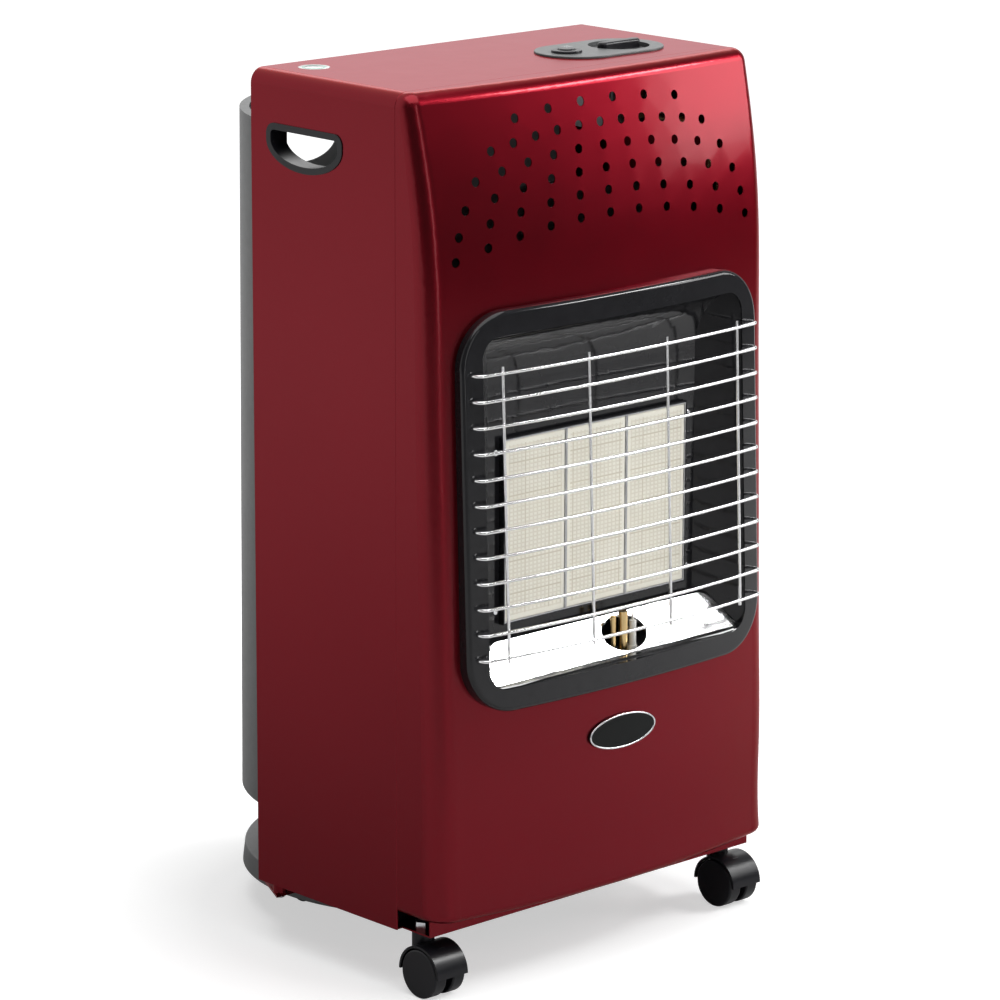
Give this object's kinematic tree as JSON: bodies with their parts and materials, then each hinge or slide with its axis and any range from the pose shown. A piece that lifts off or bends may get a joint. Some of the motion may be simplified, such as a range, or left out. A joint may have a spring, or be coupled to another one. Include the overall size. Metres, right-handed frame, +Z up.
{
  "type": "portable gas cabinet heater",
  "caption": "Upright gas cabinet heater on casters: infrared burner behind a wire guard, top controls, hand holes and an open bay with a half-round cover for the gas bottle.",
  "frame": {"origin": "on the floor, in the middle of the heater's width and depth", "axes": "+Z up, -Y out of the front with the burner, +X to the right as seen from the front"},
  "size_m": [0.3716, 0.4046, 0.7256],
  "materials": {
    "cabinet_paint": "gloss metallic burgundy",
    "grey_paint": "satin grey powder coat",
    "black_enamel": "gloss black vitreous enamel",
    "bright_wire": "bright plated wire",
    "mirror_steel": "mirror polished sheet",
    "ceramic": "porous perforated ceramic",
    "steel": "aluminised steel sheet",
    "zinc": "bright zinc plated",
    "gasket_fibre": "woven mineral fibre",
    "brass": "turned brass and copper",
    "valve_metal": "die cast",
    "insulator": "glazed ceramic insulator with a steel pin",
    "fascia_grey": "fine textured grey",
    "black_plastic": "semi-gloss moulded black",
    "badge_black": "gloss black with a bright rim, blank"
  },
  "bodies": {
    "cabinet": {"cabinet_shell": "cabinet_paint", "front_panel": "cabinet_paint", "base_plate": "cabinet_paint", "carrier_plate": "cabinet_paint", "carrier_spacers": "cabinet_paint", "bottle_tray": "grey_paint", "heat_shield": "steel", "bezel_frame": "black_enamel", "guard_bars": "bright_wire", "guard_uprights": "bright_wire", "reflector": "black_enamel", "reflector_tray": "mirror_steel", "burner_frame": "black_enamel", "burner_head_left": "steel", "burner_head_centre": "steel", "burner_head_right": "steel", "ceramic_plaque_left": "ceramic", "ceramic_plaque_centre": "ceramic", "ceramic_plaque_right": "ceramic", "burner_gaskets": "gasket_fibre", "mixer_tubes": "steel", "injectors": "brass", "gas_rail": "steel", "injector_bracket": "steel", "pilot_bracket": "steel", "pilot_burner": "brass", "thermocouple": "brass", "spark_electrode": "insulator", "gas_pipe": "brass", "pilot_pipe": "brass", "control_fascia": "fascia_grey", "gas_valve": "valve_metal", "valve_bracket": "steel", "hose_nipple": "brass", "igniter_body": "black_plastic", "igniter_nut": "zinc", "hand_insert_left": "black_plastic", "hand_insert_right": "black_plastic", "badge_plate": "badge_black", "caster_stems": "zinc", "cabinet_screws": "zinc", "window_screws": "zinc", "burner_screws": "zinc"},
    "valve_plug": {"valve_plug": "brass"},
    "knob": {"control_knob": "black_plastic", "valve_spindle": "steel"},
    "igniter_button": {"igniter_button": "black_plastic"},
    "rear_cover": {"rear_cover": "grey_paint"},
    "front_left_swivel": {"caster_hood_front_left": "black_plastic"},
    "front_left_wheels": {"caster_wheels_front_left": "black_plastic", "caster_axle_front_left": "zinc"},
    "front_right_swivel": {"caster_hood_front_right": "black_plastic"},
    "front_right_wheels": {"caster_wheels_front_right": "black_plastic", "caster_axle_front_right": "zinc"},
    "rear_left_swivel": {"caster_hood_rear_left": "black_plastic"},
    "rear_left_wheels": {"caster_wheels_rear_left": "black_plastic", "caster_axle_rear_left": "zinc"},
    "rear_right_swivel": {"caster_hood_rear_right": "black_plastic"},
    "rear_right_wheels": {"caster_wheels_rear_right": "black_plastic", "caster_axle_rear_right": "zinc"}
  },
  "joints": [
    {"name": "valve_turn", "type": "hinge", "parent": "cabinet", "child": "valve_plug", "pos_m": [0.108, -0.06468, 0.68], "axis": [0, 0, 1], "range_deg": [0, 210]},
    {"name": "knob_push", "type": "slide", "parent": "valve_plug", "child": "knob", "axis": [0, 0, -1], "range_m": [0, 0.004], "stiffness_N_per_m": 2000, "springref_m": -0.002},
    {"name": "igniter_push", "type": "slide", "parent": "cabinet", "child": "igniter_button", "axis": [0, 0, -1], "range_m": [0, 0.006], "stiffness_N_per_m": 1500, "springref_m": -0.002},
    {"name": "cover_pull", "type": "slide", "parent": "cabinet", "child": "rear_cover", "axis": [0, 1, 0], "range_m": [0, 0.2]},
    {"name": "front_left_swivel", "type": "hinge", "parent": "cabinet", "child": "front_left_swivel", "pos_m": [-0.166, -0.13268, 0.047], "axis": [0, 0, 1], "continuous": true},
    {"name": "front_left_roll", "type": "hinge", "parent": "front_left_swivel", "child": "front_left_wheels", "pos_m": [-0.166, -0.14468, 0.02], "axis": [1, 0, 0], "continuous": true},
    {"name": "front_right_swivel", "type": "hinge", "parent": "cabinet", "child": "front_right_swivel", "pos_m": [0.166, -0.13268, 0.047], "axis": [0, 0, 1], "continuous": true},
    {"name": "front_right_roll", "type": "hinge", "parent": "front_right_swivel", "child": "front_right_wheels", "pos_m": [0.166, -0.14468, 0.02], "axis": [1, 0, 0], "continuous": true},
    {"name": "rear_left_swivel", "type": "hinge", "parent": "cabinet", "child": "rear_left_swivel", "pos_m": [-0.085, 0.10732, 0.0345], "axis": [0, 0, 1], "continuous": true},
    {"name": "rear_left_roll", "type": "hinge", "parent": "rear_left_swivel", "child": "rear_left_wheels", "pos_m": [-0.085, 0.09832, 0.015], "axis": [1, 0, 0], "continuous": true},
    {"name": "rear_right_swivel", "type": "hinge", "parent": "cabinet", "child": "rear_right_swivel", "pos_m": [0.085, 0.10732, 0.0345], "axis": [0, 0, 1], "continuous": true},
    {"name": "rear_right_roll", "type": "hinge", "parent": "rear_right_swivel", "child": "rear_right_wheels", "pos_m": [0.085, 0.09832, 0.015], "axis": [1, 0, 0], "continuous": true}
  ]
}
